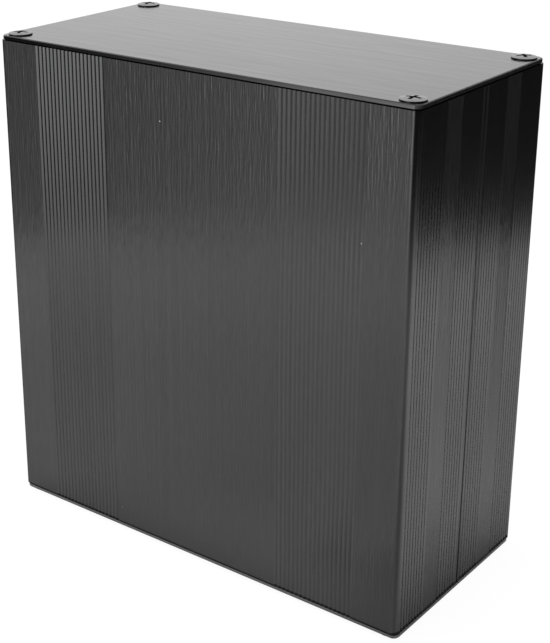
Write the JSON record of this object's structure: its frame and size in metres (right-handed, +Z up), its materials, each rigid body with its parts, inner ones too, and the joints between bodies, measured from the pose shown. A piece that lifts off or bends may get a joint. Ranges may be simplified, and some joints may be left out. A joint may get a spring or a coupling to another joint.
{
  "type": "aluminium enclosure",
  "caption": "Black anodised extruded aluminium box made of interlocking half shells with ribbed bands, closed by flat screwed end panels, to house electronics.",
  "frame": {"origin": "centre of the box on plan, level with the undersides of the bottom panel's screw heads, on which it stands", "axes": "+Z up along the extrusion, +X along the wide faces, -Y out of the wide face at the front"},
  "size_m": [0.145, 0.068, 0.1545],
  "materials": {
    "shell_anodised": "black anodised, brushed along the extrusion",
    "panel_anodised": "black anodised, brushed across the panel",
    "screw_black": "black plated"
  },
  "bodies": {
    "root": {"front_shell": "shell_anodised", "rear_shell": "shell_anodised", "bottom_panel": "panel_anodised", "top_panel": "panel_anodised", "bottom_panel_screws": "screw_black", "top_panel_screws": "screw_black"}
  },
  "joints": []
}
